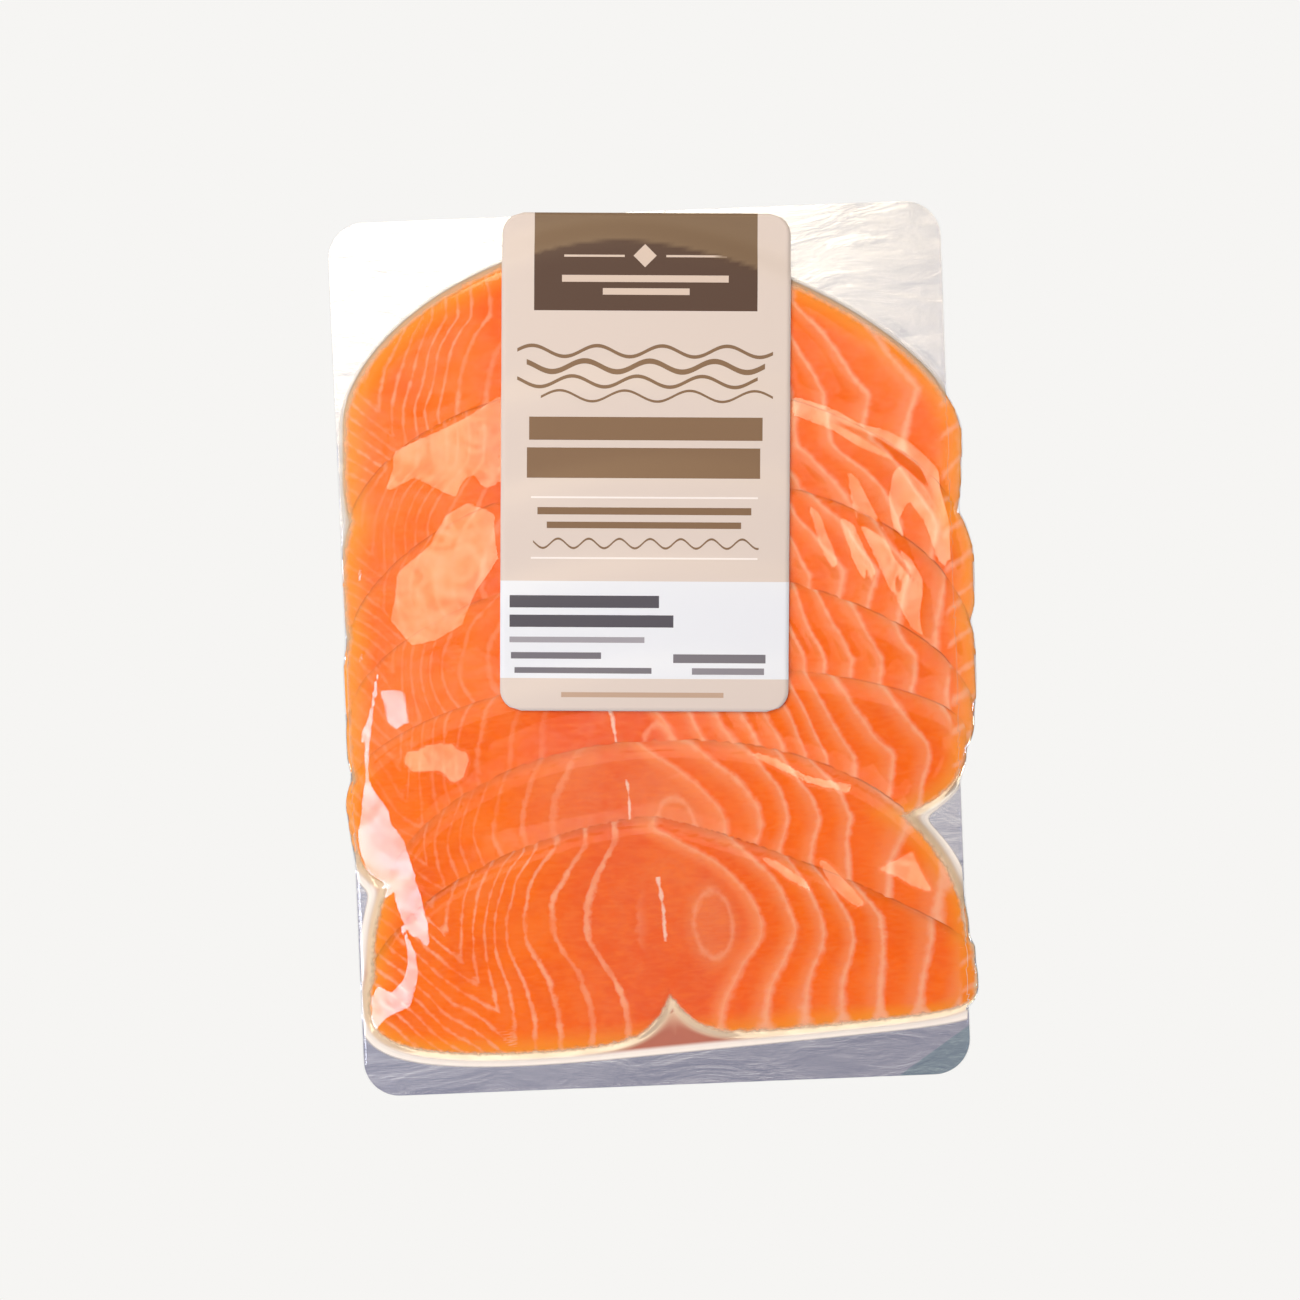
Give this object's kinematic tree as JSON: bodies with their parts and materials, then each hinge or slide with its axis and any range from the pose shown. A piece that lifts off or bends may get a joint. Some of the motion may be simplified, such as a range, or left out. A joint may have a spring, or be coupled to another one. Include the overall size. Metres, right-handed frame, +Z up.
{
  "type": "pack of smoked salmon",
  "caption": "Flat vacuum pack: overlapping smoked salmon slices on a foil-covered card under clear tight film, with a paper label on the film.",
  "frame": {"origin": "centre of the card's underside, on the surface the pack lies on", "axes": "+X across the pack to the right as the label is seen, +Y along the pack towards the label's end, +Z up out of the label"},
  "size_m": [0.1783, 0.2451, 0.0085],
  "materials": {
    "foil_card": "silver foil laminated on card, softly crinkled",
    "sealed_slices": "clear film drawn tight over wet orange salmon",
    "label": "smooth printed paper, satin"
  },
  "bodies": {
    "root": {"foil_card": "foil_card", "sealed_slices": "sealed_slices", "label": "label"}
  },
  "joints": []
}
